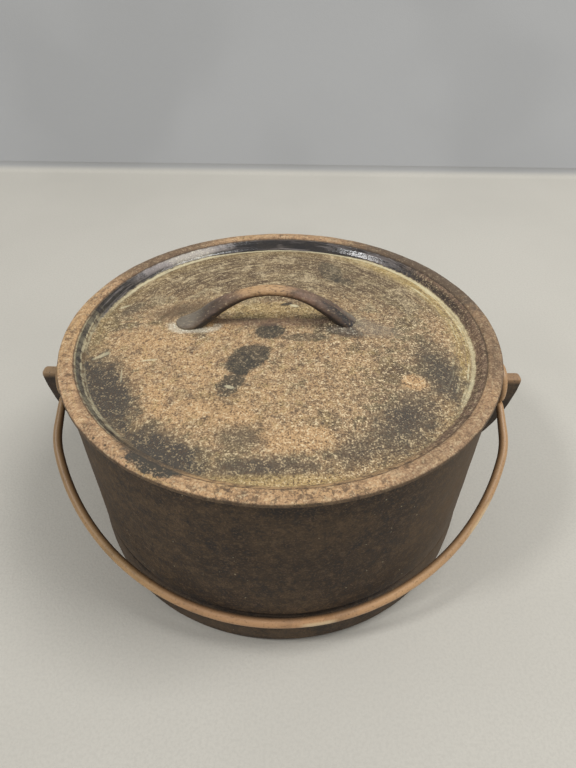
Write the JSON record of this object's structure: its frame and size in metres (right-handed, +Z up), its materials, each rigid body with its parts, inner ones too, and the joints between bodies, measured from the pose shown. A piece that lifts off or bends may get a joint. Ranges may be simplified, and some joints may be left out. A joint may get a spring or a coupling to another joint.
{
  "type": "cast iron pot",
  "caption": "Round flat-bottomed cast iron cooking pot with a dished lift-off lid, an arched lid handle and a swinging wire bail hooked through two cast ears.",
  "frame": {"origin": "On the pot's axis, on the surface that the pot stands on", "axes": "+Z is up along the pot's axis. +X runs along the line through the two ears. The bail hangs towards -Y, which is the front"},
  "size_m": [0.3098, 0.2628, 0.1656],
  "materials": {
    "pot_iron": "dark seasoned cast iron with a fine rusty speckle",
    "lid_iron": "grainy cast iron, rusted tan and brown with dark stains",
    "bail_wire": "plain steel wire under a thin coat of brown rust"
  },
  "bodies": {
    "pot": {"pot": "pot_iron"},
    "lid": {"lid": "lid_iron"},
    "bail": {"bail": "bail_wire"}
  },
  "joints": [
    {"name": "lid_lift", "type": "slide", "parent": "pot", "child": "lid", "axis": [0, 0, 1], "range_m": [0, 0.08]},
    {"name": "bail_swing", "type": "hinge", "parent": "pot", "child": "bail", "pos_m": [0, 0, 0.1], "axis": [-1, 0, 0], "range_deg": [0, 237.5]}
  ]
}
